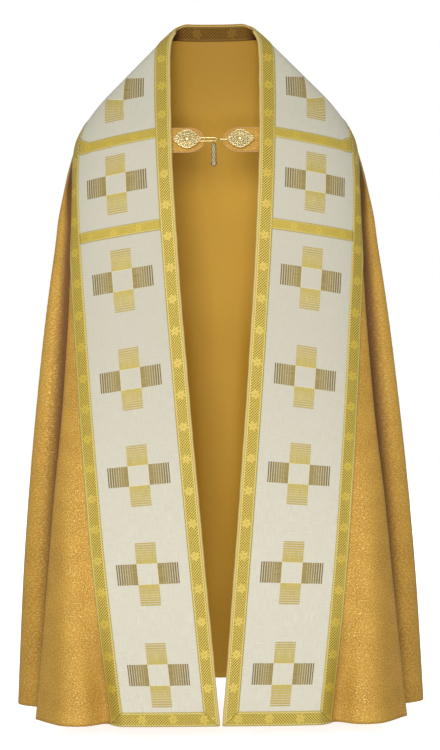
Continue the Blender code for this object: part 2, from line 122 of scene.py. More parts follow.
# How far out each layer's inner face lies, and how thick the cloth is.
Layer = namedtuple("Layer", "out wall")
LINING = Layer(0.0, 0.0009)
CLOTH = Layer(0.0013, 0.0011)
BAND = Layer(0.0028, 0.0011)
TAPE = Layer(0.0042, 0.0009)
NECK_TAPE = Layer(-0.0014, 0.0010)

GAP = 0.0003
CLASP_DROP = 0.262
CLASP_X = -0.0036
CLASP_Y = -0.1035
CLASP_TILT = math.radians(20.0)
TAB_OUTER_X = 0.0985
TAB_INNER_X = 0.018
TAB_ROUND = 0.034
TAB_HEIGHT = 0.057
TAB_WALL = 0.0022
ROSETTE_X = 0.055
ROSETTE_HALF = (0.0275, 0.0215)
ROSETTE_LOBES = 8
ROSETTE_POINT = 1.4
POST_X = 0.041
POST_RADIUS = 0.0021
POST_HEIGHT = 0.0034
WIRE_RADIUS = 0.0011
RING_RADIUS = 0.0038
RING_END_X = 0.006
HOOK_RADIUS = 0.0027
PENDANT_X = 0.0
PENDANT_LOOP_RADIUS = 0.0029
PENDANT_WIRE_RADIUS = 0.0007
PENDANT_FLATTEN = 0.42

# ---- the hanging form


def through_rows(rows, place):
    """The values of a table's row at each of these places: smooth curves through its rows, by their first
    column."""
    table = np.array(rows, float)
    knots = table[:, 0]
    place = np.clip(place, knots[0], knots[-1])
    slopes = np.gradient(table, knots, axis=0)
    low = np.clip(np.searchsorted(knots, place, side="right") - 1, 0, len(knots) - 2)
    span = (knots[low + 1] - knots[low])[:, None]
    t = (place - knots[low])[:, None] / span
    return (table[low] * (2 * t**3 - 3 * t**2 + 1) + slopes[low] * span * (t**3 - 2 * t**2 + t)
            + table[low + 1] * (3 * t**2 - 2 * t**3) + slopes[low + 1] * span * (t**3 - t**2))


LEVELS = np.linspace(0, HEM_DROP, 720)
SHARES = np.linspace(0, 1, 300)


def section_table():
    """Half of the smooth section at each level, as points at even shares of its length from the front edge
    to the centre back, with the directions there, and that length."""
    outlines, lengths = [], []
    for row in through_rows(SECTIONS, LEVELS):
        row = Section(*row)
        power = 2 / row.front_square
        edge_angle = math.asin((row.edge_x / row.half_width) ** (1 / power))
        front_depth = (row.side_y - row.edge_y) / math.cos(edge_angle) ** power
        turn = np.linspace(edge_angle, math.pi / 2, 200)
        front = np.stack([row.half_width * np.sin(turn) ** power,
                          row.side_y - front_depth * np.abs(np.cos(turn)) ** power], axis=1)
        power = 2 / row.back_square
        turn = np.linspace(math.pi / 2, 0, 200)[1:]
        back = np.stack([row.half_width * np.abs(np.sin(turn)) ** power,
                         row.side_y + (row.back_y - row.side_y) * np.abs(np.cos(turn)) ** power], axis=1)
        points = np.concatenate([front, back])
        length = np.concatenate([[0], np.cumsum(np.linalg.norm(np.diff(points, axis=0), axis=1))])
        outlines.append([np.interp(SHARES * length[-1], length, points[:, i]) for i in (0, 1)])
        lengths.append(length[-1])
    outlines = np.array(outlines).transpose(0, 2, 1)
    directions = np.gradient(outlines, axis=1)
    directions /= np.linalg.norm(directions, axis=2, keepdims=True)
    return np.concatenate([outlines, directions], axis=2), np.array(lengths)


SECTION_TABLE, HALF_LENGTHS = section_table()


def half_round(drop):
    """Length of the smooth section from the front edge to the centre back."""
    return np.interp(drop, LEVELS, HALF_LENGTHS)


def section_at(along, drop):
    """(x, y, direction x, direction y) of the smooth section, between the table's rows."""
    level = np.clip(drop, 0, HEM_DROP) / HEM_DROP * (len(LEVELS) - 1)
    share = np.clip(along / half_round(drop), 0, 1) * (len(SHARES) - 1)
    i = np.minimum(level.astype(int), len(LEVELS) - 2)
    j = np.minimum(share.astype(int), len(SHARES) - 2)
    p, q = (level - i)[:, None], (share - j)[:, None]
    return ((SECTION_TABLE[i, j] * (1 - q) + SECTION_TABLE[i, j + 1] * q) * (1 - p)
            + (SECTION_TABLE[i + 1, j] * (1 - q) + SECTION_TABLE[i + 1, j + 1] * q) * p)


def ease(drop):
    """How much longer the form is round the shoulders than a straight band, or shorter where the folds at
    the hem take it up, as a factor."""
    yoke = np.minimum(drop, BAND_WIDTH)
    spare = half_round(yoke) / (NECK_HALF + 2 * yoke) - 1
    taken = GATHER * np.maximum(0, (drop - GATHER_DROP) / (HEM_DROP - GATHER_DROP)) ** 1.5
    return 1 + spare * np.maximum(0, 1 - np.maximum(0, drop - BAND_WIDTH) / 0.4) - taken


def fan(drop):
    return np.clip((drop - BAND_WIDTH) / (HEM_DROP - BAND_WIDTH), 0, 1)


def seam_along(drop):
    edge = BAND_WIDTH * ease(drop)
    return edge + (SEAM_PLACE - edge) * fan(drop)


def fold_along(place, drop):
    """Where the fold line that ends at this place on the hem crosses each drop."""
    edge, seam = BAND_WIDTH * ease(drop), seam_along(drop)
    if place <= BAND_WIDTH:
        return place * ease(drop)
    if place <= SEAM_PLACE:
        beyond = (place - BAND_WIDTH) / (SEAM_PLACE - BAND_WIDTH)
        drawn = FOLD_DRAW * (1 - fan(drop)) * 4 * beyond * (1 - beyond) / (SEAM_PLACE - BAND_WIDTH)
        return edge + (seam - edge) * (beyond - drawn)
    half_hem = half_round(HEM_DROP)
    return half_round(drop) - (half_round(drop) - seam) * (half_hem - place) / (half_hem - SEAM_PLACE)


def fold_nearness(fold, along, drop):
    """1 on a fold's line, down to 0 at its reach."""
    reach = fold.reach * (FOLD_NARROW + (1 - FOLD_NARROW) * fan(drop))
    away = np.minimum(np.abs(along - fold_along(fold.place, drop)) / reach, 1)
    return 0.5 * (1 + np.cos(math.pi * away))


def fold_depth(side, along, drop):
    """How far the folds move the cloth out (+) or in (-) of the smooth section."""
    moved = np.zeros_like(along)
    for fold in FOLDS + CREASES:
        grown = np.maximum((drop - fold.starts) / (HEM_DROP - fold.starts), 0)
        lead = np.clip((drop - fold.starts) / FOLD_LEAD, 0, 1)
        depth = np.where(side < 0, fold.left, fold.right)
        moved += depth * grown**FOLD_GROWTH * lead**2 * (1.5 - 0.5 * lead**2) * fold_nearness(fold, along, drop)
    return moved


def fold_shade_shares(along, drop):
    """How near each point is to the bottom of a fold and to the top of one, for the finishes' painted shade in
    the troughs and painted highlight on the ridges.
    """
    shares = []
    for kept in ([fold for fold in FOLDS if fold.left < 0], [fold for fold in FOLDS if fold.left > 0]):
        share = np.zeros_like(along)
        for fold in kept:
            lead = np.clip((drop - fold.starts) / FOLD_SHADE_LEAD, 0, 1)
            depth = min(1, abs(fold.left) / FOLD_SHADE_DEPTH)
            share = np.maximum(share, lead * depth * fold_nearness(fold, along, drop))
        shares.append(share)
    return shares


def lift(along, drop):
    """How much higher than level the neck edge and the cloth just below it stand."""
    rise = np.clip(along / half_round(drop) / NECK_TURN, 0, 1)
    height = (NECK_LIFT + NECK_DIP) * rise**2 * (3 - 2 * rise) - NECK_DIP
    return height * np.exp(-((drop / NECK_LIFT_REACH) ** 2))


def form_points(side, along, drop):
    """Points of the folded form. A length beyond the centre back comes round onto the other side, and one
    short of the front edge runs straight on."""
    half = half_round(drop)
    side = np.where(along > half, -side, side)
    along = np.where(along > half, 2 * half - along, along)
    x, y, way_x, way_y = section_at(along, drop).T
    out, beyond = fold_depth(side, along, drop), np.minimum(along, 0)
    x, y = x + out * way_y + beyond * way_x, y - out * way_x + beyond * way_y
    return np.stack([side * x, y, NECK_TOP - drop + lift(np.maximum(along, 0), drop)], axis=1)


def cloth_points(side, along, drop, out):
    """Points of the form moved out by this much, square to the cloth."""
    side, along, drop, out = np.broadcast_arrays(
        *(np.asarray(value, float) for value in (side, along, drop, out)))
    step = 0.003
    round_way = form_points(side, along + step, drop) - form_points(side, along - step, drop)
    lower, upper = np.minimum(drop + step, HEM_DROP), np.maximum(drop - step, 0)
    down_way = form_points(side, along, lower) - form_points(side, along, upper)
    normal = np.cross(down_way, round_way) * side[:, None]
    normal /= np.linalg.norm(normal, axis=1, keepdims=True)
    return form_points(side, along, drop) + normal * out[:, None]


def band_points(run, across, out):
    """Points of the straight band. It folds over the shoulder on a line at 45 degrees to it."""
    side, run = np.where(run < 0, -1.0, 1.0), np.abs(run)
    behind = run <= NECK_HALF + across
    drop = np.maximum(run - NECK_HALF, 0)
    fade = np.clip((drop - across) / LEAN_FADE, 0, 1)
    leaning = np.minimum(drop + across * through_rows(LEANS, drop)[:, 1] * fade, HEM_DROP)
    front_along = across * ease(leaning)
    back_drop = np.maximum(across, 0)
    back_along = half_round(back_drop) - run * ease(back_drop)
    return cloth_points(side, np.where(behind, back_along, front_along),
                        np.where(behind, back_drop, leaning), out)


# ---- making pieces


def grid_piece(name, columns, rows, place, unrolled, finish, wall=0.0, fold_shading=None):
    """A piece of cloth: a grid moved onto the form by place(u, v), with its own flat map unrolled(u, v), and
    if it is asked for a map of how deep in a fold each point lies, by which the finishes paint shade and
    highlight."""
    shape = bmesh.new()
    bmesh.ops.create_grid(shape, x_segments=columns, y_segments=rows, size=0.5)
    data = bpy.data.meshes.new(name)
    shape.to_mesh(data)
    shape.free()
    corners = np.empty(len(data.vertices) * 3)
    data.vertices.foreach_get("co", corners)
    u, v = corners.reshape(-1, 3)[:, :2].T + 0.5
    data.vertices.foreach_set("co", place(u, v).ravel())
    corner_of = np.empty(len(data.loops), int)
    data.loops.foreach_get("vertex_index", corner_of)
    for label, values in (("cut", unrolled), ("folds", fold_shading)):
        if values:
            flat = data.uv_layers.new(name=label)
            flat.data.foreach_set("uv", np.stack(values(u, v), axis=1)[corner_of].ravel())
    data.update()
    return cloth_piece(name, data, finish, wall)


def cloth_piece(name, data, finish, wall, body="cope"):
    """The object of a mesh, with its thickness. A sheet's faces point away from the wearer."""
    data.shade_smooth()
    data.materials.append(finish)
    piece = bpy.data.objects.new(name, data)
    bpy.context.scene.collection.objects.link(piece)
    if wall:
        looks = sum(face.normal.x * face.center.x + face.normal.y * face.center.y for face in data.polygons)
        if looks < 0:
            data.flip_normals()
        thickness = piece.modifiers.new("thickness", "SOLIDIFY")
        thickness.thickness = wall
        thickness.offset = 1.0
    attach(piece, body)
    return piece


def joined(name, pieces):
    """One object from several that share a finish."""
    shape = bmesh.new()
    for piece in pieces:
        shape.from_mesh(piece.data)
    data = pieces[0].data
    shape.to_mesh(data)
    shape.free()
    for extra in pieces[1:]:
        bpy.data.objects.remove(extra, do_unlink=True)
    pieces[0].name = name
    return pieces[0]


# ---- finishes


class Wire:
    """A socket's value, which can be used in sums."""

    def __init__(self, finish, socket):
        self.finish, self.socket = finish, socket

    def maths(self, operation, *values, **settings):
        inputs = dict(enumerate(values))
        return self.finish.node("ShaderNodeMath", {"operation": operation, **settings}, inputs)

    def __add__(self, other):
        return self.maths("ADD", self, other)

    def __sub__(self, other):
        return self.maths("SUBTRACT", self, other)

    def __rsub__(self, other):
        return self.maths("SUBTRACT", other, self)

    def __mul__(self, other):
        return self.maths("MULTIPLY", self, other)

    def __truediv__(self, other):
        return self.maths("DIVIDE", self, other)

    def __pow__(self, other):
        return self.maths("POWER", self, other)

    def __gt__(self, other):
        return self.maths("GREATER_THAN", self, other)

    def __lt__(self, other):
        return self.maths("LESS_THAN", self, other)

    def __abs__(self):
        return self.maths("ABSOLUTE", self)

    __radd__, __rmul__ = __add__, __mul__

    def share(self):
        """The part after the decimal point."""
        return self.maths("FRACT", self)

    def sine(self):
        return self.maths("SINE", self)

    def wave(self, length):
        """A sine wave along it, this long from crest to crest."""
        return (self * (2 * math.pi / length)).sine()

    def least(self, other):
        return self.maths("MINIMUM", self, other)

    def most(self, other):
        return self.maths("MAXIMUM", self, other)

    def ramp(self, low, high):
        """0 up to low, 1 from high, and even between."""
        return self.finish.node("ShaderNodeMapRange", {"clamp": True, "interpolation_type": "SMOOTHSTEP"},
                                {"Value": self, "From Min": low, "From Max": high})


class Finish:
    """A material and its Principled shader."""

    def __init__(self, name, **constants):
        self.material = bpy.data.materials.new(name)
        self.material.use_nodes = True
        self.tree = self.material.node_tree
        self.shader = self.tree.nodes["Principled BSDF"]
        for label, value in constants.items():
            self.shader.inputs[label.replace("_", " ").title().replace("Ior", "IOR")].default_value = value

    def node(self, kind, settings=None, inputs=None, output=0):
        """One node: its settings are set first, then its sockets are given values or wires."""
        made = self.tree.nodes.new(kind)
        for label, value in (settings or {}).items():
            setattr(made, label, value)
        for label, value in (inputs or {}).items():
            if isinstance(value, Wire):
                self.tree.links.new(value.socket, made.inputs[label])
            else:
                made.inputs[label].default_value = value
        return Wire(self, made.outputs[output])

    def feed(self, **wires):
        for label, wire in wires.items():
            self.tree.links.new(wire.socket, self.shader.inputs[label.replace("_", " ").title()])

    def flat_map(self):
        """The two measures of the piece's own flat map, and the map itself."""
        cut = self.node("ShaderNodeUVMap", {"uv_map": "cut"})
        parts = [self.node("ShaderNodeSeparateXYZ", inputs={0: cut}, output=i) for i in (0, 1)]
        return parts[0], parts[1], cut

    def folds(self):
        """How near each point is to the bottom of a fold and to the top of one: the map for painted shade and
        painted highlight.
        """
        depths = self.node("ShaderNodeUVMap", {"uv_map": "folds"})
        return [self.node("ShaderNodeSeparateXYZ", inputs={0: depths}, output=i) for i in (0, 1)]

    def vector(self, x, y, z=0.0):
        return self.node("ShaderNodeCombineXYZ", inputs={0: x, 1: y, 2: z})

    def noise(self, vector, scale, detail=2.0, roughness=0.5):
        return self.node("ShaderNodeTexNoise", inputs={"Vector": vector, "Scale": scale, "Detail": detail,
                                                       "Roughness": roughness})

    def flakes(self, vector, scale):
        """A chance number for each small cell."""
        cells = self.node("ShaderNodeTexVoronoi", inputs={"Vector": vector, "Scale": scale}, output="Color")
        return self.node("ShaderNodeSeparateXYZ", inputs={0: cells})

    def mix(self, share, low, high):
        """A colour between two, each given as a colour or a wire."""
        colours = {6: low, 7: high}
        return self.node("ShaderNodeMix", {"data_type": "RGBA"},
                         {0: share, **{slot: value if isinstance(value, Wire) else (*value, 1)
                                       for slot, value in colours.items()}}, output=2)

    def bump(self, height, distance, strength=1.0):
        return self.node("ShaderNodeBump",
                         inputs={"Height": height, "Distance": distance, "Strength": strength})


def gold_cloth(name="gold lurex cloth", fold_shaded=True):
    """Ochre cloth with a crinkled lurex face: fine slanting glints painted on a duller ground, with painted
    highlight along the fold ridges and painted shade in the fold troughs.
    """
    finish = Finish(name, specular_ior_level=0.36)
    x, y, cut = finish.flat_map()
    trough_shading, ridge_shading = finish.folds() if fold_shaded else (x * 0, x * 0)
    slanted = finish.vector(x * 0.95 + y * 0.15, y * 1.2 - x * 0.2)
    crinkle = finish.noise(slanted, 340, 3.0, 0.64)
    broad = finish.noise(cut, 22, 2.0)
    patches = finish.noise(cut, 5.0, 1.0)
    flake = finish.flakes(finish.vector(x * 0.8, y * 1.3), 760)
    glint = flake.ramp(0.70, 0.96) * crinkle.ramp(0.42, 0.62)
    ground = finish.mix(broad.ramp(0.3, 0.7), (0.445, 0.211, 0.0200), (0.515, 0.258, 0.029))
    ground = finish.mix(crinkle.ramp(0.43, 0.62) * 0.46, ground, (0.79, 0.560, 0.125))
    # Painted highlight: the cloth yellower along the fold ridges.
    ground = finish.mix(ridge_shading.ramp(0.15, 0.5) * 0.26, ground, (0.72, 0.460, 0.092))
    ground = finish.mix(glint * 0.50, ground, (1.0, 0.80, 0.30))
    # Painted shade: the cloth darkened almost to black in the fold troughs.
    finish.feed(base_color=finish.mix(trough_shading.ramp(0.24, 0.66) * 0.93, ground, (0.120, 0.040, 0.004)),
                roughness=0.58 - glint * 0.22 - patches * 0.08,
                metallic=0.24 + glint * 0.45)
    thread = x.wave(0.0011) * y.wave(0.0011)
    finish.feed(normal=finish.bump(crinkle + thread * 0.12 + flake * 0.22, 0.0008, 0.70))
    return finish.material


def lining_satin():
    """Smooth ochre satin with a faint lengthwise grain, with painted shade towards the neck and along the fold
    ridges, which are grooves seen from inside.
    """
    finish = Finish("ochre lining satin", sheen_weight=0.05, sheen_roughness=0.5,
                    sheen_tint=(0.9, 0.6, 0.15, 1), specular_ior_level=0.18)
    x, y, cut = finish.flat_map()
    grain = finish.noise(finish.vector(x * 9, y), 70, 2.0)
    cloud = finish.noise(cut, 3.2, 1.5)
    trough_shading, ridge_shading = finish.folds()
    ground = finish.mix(cloud.ramp(0.35, 0.65), (0.620, 0.350, 0.034), (0.672, 0.388, 0.042))
    ground = finish.mix(grain.ramp(0.35, 0.7) * 0.25, ground, (0.73, 0.440, 0.057))
    # Painted shade: darker along the fold ridges, which are grooves on the inside.
    ground = finish.mix(ridge_shading.ramp(0.2, 0.6) * 0.18, ground, (0.34, 0.160, 0.016))
    # Painted shade: darker towards the neck, inside the back.
    finish.feed(base_color=finish.mix((1 - y.ramp(0.0, 0.34)) * 0.66, ground, (0.25, 0.122, 0.009)),
                roughness=0.50 + grain * 0.12)
    finish.feed(normal=finish.bump(grain + x.wave(0.0006) * 0.1, 0.0004, 0.35))
    return finish.material


MOTIF_FIRST = 0.2208  # run of the first motif beside the shoulder
MOTIF_REPEAT = 0.2002
MOTIF_CENTRE = 0.116  # across the band
MOTIF_SQUARE = 0.042


def orphrey_brocade():
    """Ivory cloth with a cross of four striped gold squares round a plain one, repeated along the band."""
    finish = Finish("ivory orphrey brocade", sheen_weight=0.2, sheen_roughness=0.5, specular_ior_level=0.3)
    run, across, cut = finish.flat_map()
    half = MOTIF_SQUARE / 2
    walk = abs(run)
    repeat = (((walk - MOTIF_FIRST) / MOTIF_REPEAT + 0.5).share() - 0.5) * MOTIF_REPEAT
    first = walk > MOTIF_FIRST - MOTIF_REPEAT / 2
    lengthwise = abs(repeat * first + walk * (1 - first))
    widthwise = abs(across - MOTIF_CENTRE)

    def arm(beyond, beside):
        """Where an arm's square is, how far out in it each point lies, and its stripes: bold and spaced at
        the outer end, then finer until they close."""
        share = (beyond - half) / MOTIF_SQUARE
        inside = (share > 0.0) * (share < 1.0) * (beside < half)
        bold = ((share * 8.5).share() < 0.99 - share * 0.40).most(share < 0.12)
        fine = ((share * 27).share() < 0.7)
        return inside, share, bold * (fine * 0.30 + 0.70)

    upper, upper_share, upper_stripes = arm(lengthwise, widthwise)
    outer, outer_share, outer_stripes = arm(widthwise, lengthwise)
    warp = finish.noise(finish.vector(run * 0.25, across * 6), 160, 2.0)
    weft = finish.noise(finish.vector(run * 6, across * 0.25), 160, 2.0)
    mottle = finish.noise(cut, 14, 2.0)
    ivory = finish.mix((warp * 0.6 + weft * 0.4).ramp(0.3, 0.7), (0.577, 0.541, 0.425), (0.702, 0.670, 0.545))
    ivory = finish.mix(mottle.ramp(0.35, 0.7) * 0.3, ivory, (0.642, 0.609, 0.496))
    # Painted shade: the ivory darker and greyer within 0.6 m of the centre back, fading out by 1.3 m down the
    # band.
    ivory = finish.mix((1 - walk.ramp(0.60, 1.30)) * 0.56, ivory, (0.458, 0.440, 0.345))
    near = lengthwise.most(widthwise)
    rim = (abs(near - half) < 0.0011) * (lengthwise.least(widthwise) < half)
    ivory = finish.mix(rim * 0.55, ivory, (0.80, 0.70, 0.36))
    # The upright and sideways arms are the same gold thread: the yellow is its lit copy and the sideways colour
    # its darker copy, as painted sheen and painted shade from the thread's direction.
    yellow = finish.mix(warp.ramp(0.3, 0.7), (0.42, 0.320, 0.060), (0.56, 0.44, 0.120))
    yellow = finish.mix(upper_share.ramp(0.45, 1.0) * 0.45, yellow, (0.38, 0.245, 0.035))
    shaded_gold = finish.mix(weft.ramp(0.3, 0.7), (0.225, 0.158, 0.036), (0.34, 0.250, 0.072))
    shaded_gold = finish.mix(outer_share.ramp(0.35, 1.0) * 0.85, shaded_gold, (0.110, 0.062, 0.012))
    ivory = finish.mix((upper + outer) * 0.50, ivory, (0.58, 0.50, 0.25))
    colour = finish.mix(upper * upper_stripes, ivory, yellow)
    colour = finish.mix(outer * outer_stripes, colour, shaded_gold)
    raised = upper * upper_stripes + outer * outer_stripes
    finish.feed(base_color=colour, roughness=0.78 - raised * 0.30, metallic=raised * 0.15)
    thread = run.wave(0.0016) * across.wave(0.0016)
    finish.feed(normal=finish.bump(warp * 0.4 + weft * 0.4 + thread * 0.25 + raised * 0.5, 0.0006, 0.6))
    return finish.material


# In tape widths, from one to the next.
STAR_REPEAT = 2.3
LATTICE_PITCH = 0.200


def galloon_weave(name="gold galloon weave", painted_shade=0.0, sheen=0.0):
    """Gold braid, mapped in tape widths: smooth borders, and a lattice field with a star every so often.
    Sheen fills the lattice with yellow as painted sheen, and painted shade turns the braid browner and darker,
    more towards its ends."""
    finish = Finish(name, specular_ior_level=0.6 - 0.5 * painted_shade)
    x, y, _ = finish.flat_map()
    border = (abs(y - 0.5) > 0.365)
    edge = (abs(y - 0.5) > 0.455)
    up, down = (abs(((x + y * slope) / LATTICE_PITCH).share() - 0.5) * 2 for slope in (1.05, -1.05))
    lattice = (up.ramp(0.42, 0.78) + down.ramp(0.50, 0.85) * 0.75).least(1.0)
    along = ((x / STAR_REPEAT).share() - 0.5) * STAR_REPEAT
    centre = y - 0.5
    reach = (along**2 + centre**2) ** 0.5
    turn = along.maths("ARCTAN2", centre, along)
    petals = 0.315 + 0.065 * (turn * 6).sine()
    star = (petals - reach).ramp(-0.01, 0.035) * (1 - border)
    core = (reach < 0.075)
    shine = finish.noise(finish.vector(x * 2, y * 14), 9, 2.0)

    # Painted shade: each colour turned browner for a shaded braid.
    def shaded_tone(red, green, blue):
        return red, green * (1 - 0.35 * painted_shade), blue * (1 - 0.8 * painted_shade)

    olive = finish.mix(shine.ramp(0.3, 0.7), shaded_tone(0.155, 0.106, 0.010), shaded_tone(0.24, 0.172, 0.018))
    olive = finish.mix(0.6 * painted_shade, olive, (0, 0, 0))
    yellow = finish.mix(shine.ramp(0.3, 0.7), shaded_tone(0.56, 0.400, 0.040), shaded_tone(0.74, 0.565, 0.095))
    field = finish.mix((lattice + sheen).least(1.0), olive, yellow)
    bloom = finish.mix(shine.ramp(0.3, 0.7), shaded_tone(0.50, 0.360, 0.030), shaded_tone(0.61, 0.450, 0.055))
    field = finish.mix(star * 0.9, field, bloom)
    field = finish.mix(core * 0.7, field, (0.42, 0.26, 0.02))
    pale = finish.mix(((x * 34).share() < 0.5) * 0.35, shaded_tone(0.64, 0.520, 0.155),
                      shaded_tone(0.46, 0.350, 0.062))
    colour = finish.mix(border * (1 - edge * 0.35), field, pale)
    stitches = (abs(abs(y - 0.5) - 0.435) < 0.016) * ((x * 11).share() < 0.6)
    colour = finish.mix(stitches * 0.5, colour, (0.36, 0.25, 0.035))
    # Painted shade: how much the braid is darkened, more towards its ends beside the corners of the neck.
    shade_amount = (shine * 0.2 + 0.9 + abs(x).ramp(1.9, 3.1) * 0.45) * painted_shade
    finish.feed(base_color=finish.mix(shade_amount, colour, (0.050, 0.010, 0.001)),
                roughness=0.46 + 0.35 * painted_shade + shine * 0.14 - star * 0.08,
                metallic=(1 - star * 0.5) * (0.28 * (1 - painted_shade)))
    height = (lattice * (1 - star) * (1 - border) + star * 0.9 + border * 0.8 + x.wave(0.045) * 0.12
              - stitches * 0.6)
    finish.feed(normal=finish.bump(height, 0.0006, 0.7))
    return finish.material


def braid_cord(name, light, dark, twist):
    """A cord of fine overcast stitches, this far apart."""
    finish = Finish(name, specular_ior_level=0.4)
    x, y, cut = finish.flat_map()
    strand = (x + y * 0.6).wave(twist) * 0.5 + 0.5
    fuzz = finish.noise(cut, 900, 2.0)
    finish.feed(base_color=finish.mix(strand * 0.7 + fuzz * 0.3, dark, light), roughness=0.50 + fuzz * 0.15,
                metallic=0.15 + strand * 0.15)
    finish.feed(normal=finish.bump(strand + fuzz * 0.3, 0.0004, 0.7))
    return finish.material


def antique_brass(name="pale antique brass", bright=1.0, rough=0.26):
    """Pale worn brass with painted shade in its recesses, and tarnished in small patches. Its map gives the
    height, and the lower it is, the darker the painted shade.
    """
    finish = Finish(name, specular_ior_level=0.5)
    where = finish.node("ShaderNodeTexCoord", output="Object")
    cloud = finish.noise(where, 420, 3.0)
    fine = finish.noise(where, 1900, 2.0)
    pale, dark = ([channel * bright for channel in colour]
                  for colour in ((0.92, 0.77, 0.41), (0.46, 0.33, 0.12)))
    height = finish.flat_map()[1]
    worn = finish.mix(cloud.ramp(0.50, 0.72) * 0.6, pale, dark)
    # Painted shade: the brass darkened where its map's height is low, in the recesses.
    finish.feed(base_color=finish.mix(1 - height.ramp(0.15, 0.75), worn, [channel * 0.18 for channel in dark]),
                roughness=rough + cloud * 0.22, metallic=0.94 - cloud * 0.06)
    finish.feed(normal=finish.bump(cloud * 0.6 + fine * 0.4, 0.0002, 0.5))
    return finish.material


# ---- the cloak

LINING_INSET = 0.0015
CLOTH_INSET = 0.002
YOKE_OVERLAP = 0.006
EDGE_FOLD_WIDTH = 0.016
BAND_COLUMNS = 640
TAPE_COLUMNS = 720


def declare(node):
    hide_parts(*([node] if isinstance(node, str) else node))


def full_round(name, start, end, columns, rows, layer, from_along, finish):
    """A ring of cloth between two drops, from one side's from_along(drop) round the back to the other's."""

    def where(u, v):
        share = 0.4 * v + 0.6 * v**2 if start == 0 and end == HEM_DROP else v
        drop = start + (end - start) * share
        first = from_along(drop)
        return first + (2 * half_round(drop) - 2 * first) * u, drop

    def place(u, v):
        along, drop = where(u, v)
        return cloth_points(-np.ones_like(along), along, drop, layer.out)

    def unrolled(u, v):
        along, drop = where(u, v)
        return along - half_round(drop), drop

    def fold_shading(u, v):
        along, drop = where(u, v)
        return fold_shade_shares(np.minimum(along, 2 * half_round(drop) - along), drop)

    return grid_piece(name, columns, rows, place, unrolled, finish, layer.wall, fold_shading)


def build_lining(finish):
    lining = full_round("lining_satin", 0, HEM_DROP, 200, 150, LINING,
                        lambda drop: np.full_like(drop, LINING_INSET), finish)
    declare("lining")


def build_outer_cloth(finish):
    """The gold cloth: a back with the shoulders, and two fronts sewn to it down the sides."""
    split = BAND_WIDTH - YOKE_OVERLAP
    yoke = full_round("gold_cloth_yoke", 0, split, 150, 40, CLOTH,
                      lambda drop: np.full_like(drop, CLOTH_INSET), finish)
    gore = full_round("gold_cloth_gore", split, HEM_DROP, 150, 170, CLOTH,
                      lambda drop: np.where(drop < BAND_WIDTH, BAND_WIDTH * ease(drop), seam_along(drop)),
                      finish)
    back = joined("gold_cloth_back", [yoke, gore])
    declare("outer_back")
    for side_name, side in (("left", -1.0), ("right", 1.0)):
        def where(u, v):
            drop = split + (HEM_DROP - split) * v
            return seam_along(drop) * (CLOTH_INSET + (1 - CLOTH_INSET) * u), drop

        def place(u, v):
            along, drop = where(u, v)
            return cloth_points(np.full_like(along, side), along, drop, CLOTH.out)

        front = grid_piece("gold_cloth_front_" + side_name, 130, 190, place, where, finish, CLOTH.wall,
                           lambda u, v: fold_shade_shares(*where(u, v)))
        declare("outer_front_" + side_name)


def build_edge_fold(finish):
    """The gold cloth turned over the front edge, which shows as a soft rim beside the braid."""
    def place(u, v):
        run = BAND_LENGTH * (2 * u - 1) * 0.9995
        turn = math.pi * (v - 0.5)
        soft = (1 + 0.10 * np.sin(run * 37) * np.sin(run * 61 + 1)) * np.clip(np.abs(run) / 0.12, 0.35, 1)
        across = EDGE_SHOWN + 0.0006 - 0.0042 * soft * np.cos(turn)
        return band_points(run, across, 0.0018 + 0.0032 * np.sin(turn))

    fold = grid_piece("front_edge_fold", TAPE_COLUMNS, 10, place,
                      lambda u, v: (BAND_LENGTH * 2 * u, v * EDGE_FOLD_WIDTH), finish, 0.0006)
    fold.modifiers["thickness"].offset = 0.0


def tape(name, finish, columns, start, end, width, at):
    """One braid strip. start(share) and end(share) give where it begins and ends at each share of its
    width, so that its ends can be cut aslant; at(length, share) gives its run and across."""
    def where(u, v):
        return start(v) + (end(v) - start(v)) * u, v

    def place(u, v):
        length, share = where(u, v)
        off_middle = np.abs(2 * share - 1)
        crown = 0.0004 * (1 - off_middle**4) + 0.0003 * np.exp(-((off_middle - 0.86) / 0.07) ** 2)
        return band_points(*at(length, share), TAPE.out + crown)

    def unrolled(u, v):
        length, share = where(u, v)
        return length / width, share

    return grid_piece(name, columns, 12, place, unrolled, finish, TAPE.wall)


